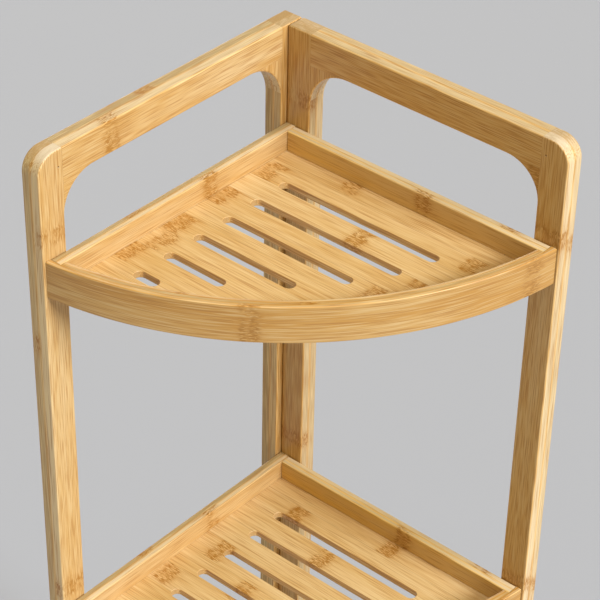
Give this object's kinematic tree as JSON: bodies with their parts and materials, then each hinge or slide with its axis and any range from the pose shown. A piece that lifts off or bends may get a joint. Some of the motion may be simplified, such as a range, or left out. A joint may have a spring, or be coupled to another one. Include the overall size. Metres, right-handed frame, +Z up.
{
  "type": "bamboo corner shelf",
  "caption": "Free-standing bamboo corner shelf: quarter-round slotted trays with raised rims held between two flat post-and-rail frames that meet at a right angle.",
  "frame": {"origin": "centre of the square footprint, on the floor, under the foot pads", "axes": "+Z up; the left frame stands along the -X side and the right frame along the +Y side, so the closed corner is at (-X, +Y) and the curved tray fronts face (+X, -Y)"},
  "size_m": [0.24, 0.24, 0.8],
  "materials": {
    "frame_bamboo": "laminated bamboo, satin clear varnish",
    "rail_bamboo": "laminated bamboo, satin clear varnish",
    "panel_bamboo": "edge-glued bamboo strips, satin clear varnish",
    "fastener_steel": "zinc-plated steel",
    "foot_rubber": "matt dark rubber"
  },
  "bodies": {
    "root": {"left_front_post": "frame_bamboo", "left_back_post": "frame_bamboo", "left_top_rail": "frame_bamboo", "left_front_corner_block": "frame_bamboo", "left_back_corner_block": "frame_bamboo", "right_front_post": "frame_bamboo", "right_back_post": "frame_bamboo", "right_top_rail": "frame_bamboo", "right_front_corner_block": "frame_bamboo", "right_back_corner_block": "frame_bamboo", "top_tray_left_rail": "rail_bamboo", "top_tray_right_rail": "rail_bamboo", "top_tray_front_rail": "rail_bamboo", "top_tray_slotted_panel": "panel_bamboo", "middle_tray_left_rail": "rail_bamboo", "middle_tray_right_rail": "rail_bamboo", "middle_tray_front_rail": "rail_bamboo", "middle_tray_slotted_panel": "panel_bamboo", "bottom_tray_left_rail": "rail_bamboo", "bottom_tray_right_rail": "rail_bamboo", "bottom_tray_front_rail": "rail_bamboo", "bottom_tray_slotted_panel": "panel_bamboo", "top_tray_screw_left_front": "fastener_steel", "top_tray_screw_right_front": "fastener_steel", "top_tray_screw_right_back": "fastener_steel", "top_tray_screw_corner": "fastener_steel", "middle_tray_screw_left_front": "fastener_steel", "middle_tray_screw_right_front": "fastener_steel", "middle_tray_screw_right_back": "fastener_steel", "middle_tray_screw_corner": "fastener_steel", "bottom_tray_screw_left_front": "fastener_steel", "bottom_tray_screw_right_front": "fastener_steel", "bottom_tray_screw_right_back": "fastener_steel", "bottom_tray_screw_corner": "fastener_steel", "frame_screw_upper": "fastener_steel", "frame_screw_middle": "fastener_steel", "frame_screw_lower": "fastener_steel", "left_brad": "fastener_steel", "right_brad": "fastener_steel", "left_front_foot_pad": "foot_rubber", "left_back_foot_pad": "foot_rubber", "right_front_foot_pad": "foot_rubber", "right_back_foot_pad": "foot_rubber"}
  },
  "joints": []
}
